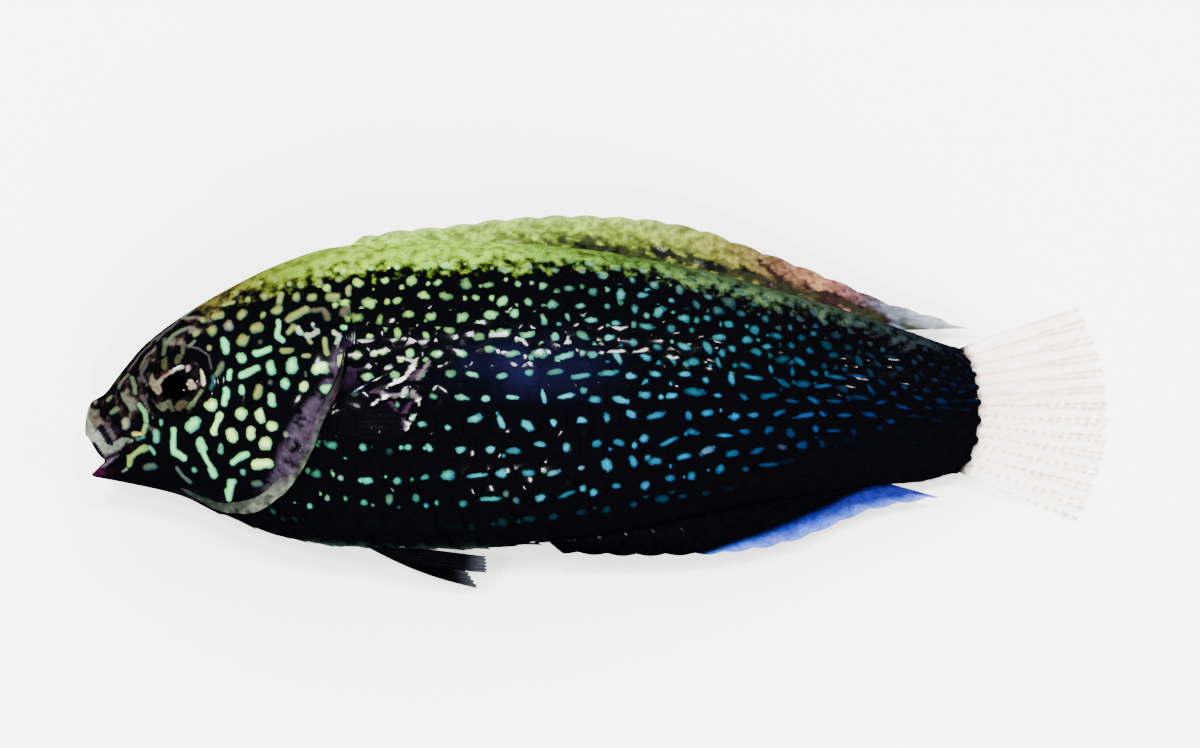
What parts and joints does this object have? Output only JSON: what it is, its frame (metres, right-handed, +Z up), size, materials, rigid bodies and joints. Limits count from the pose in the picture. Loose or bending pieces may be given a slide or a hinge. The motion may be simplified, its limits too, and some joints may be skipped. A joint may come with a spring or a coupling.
{
  "type": "black leopard wrasse",
  "caption": "Small spotted marine fish, life size, lying on its right side as landed, with folded dorsal and anal fins and a spread clear tail fin.",
  "frame": {"origin": "on the floor, under the centre of the whole fish's bounding box", "axes": "+X from the snout to the tail, +Y from the belly to the back, +Z up from the right flank, which rests on the floor, to the left flank"},
  "size_m": [0.0524, 0.0192, 0.0087],
  "materials": {
    "black_skin": "wet black skin with pale green to blue spots",
    "lip_skin": "wet, pale grey-green lips over dark maroon",
    "olive_fin": "translucent olive to tan membrane",
    "black_fin": "black membrane with a blue-violet margin",
    "clear_fin": "clear membrane with pinkish rays",
    "eye": "glossy dark eye"
  },
  "bodies": {
    "root": {"head": "black_skin", "lower_jaw": "lip_skin", "gill_cover_left": "black_skin", "gill_cover_right": "black_skin", "trunk": "black_skin", "tail_stalk": "black_skin", "eye_left": "eye", "eye_right": "eye", "dorsal_fin": "olive_fin", "anal_fin": "black_fin", "caudal_fin": "clear_fin", "pectoral_fin_left": "clear_fin", "pectoral_fin_right": "clear_fin", "pelvic_fin_left": "black_fin", "pelvic_fin_right": "black_fin"}
  },
  "joints": []
}
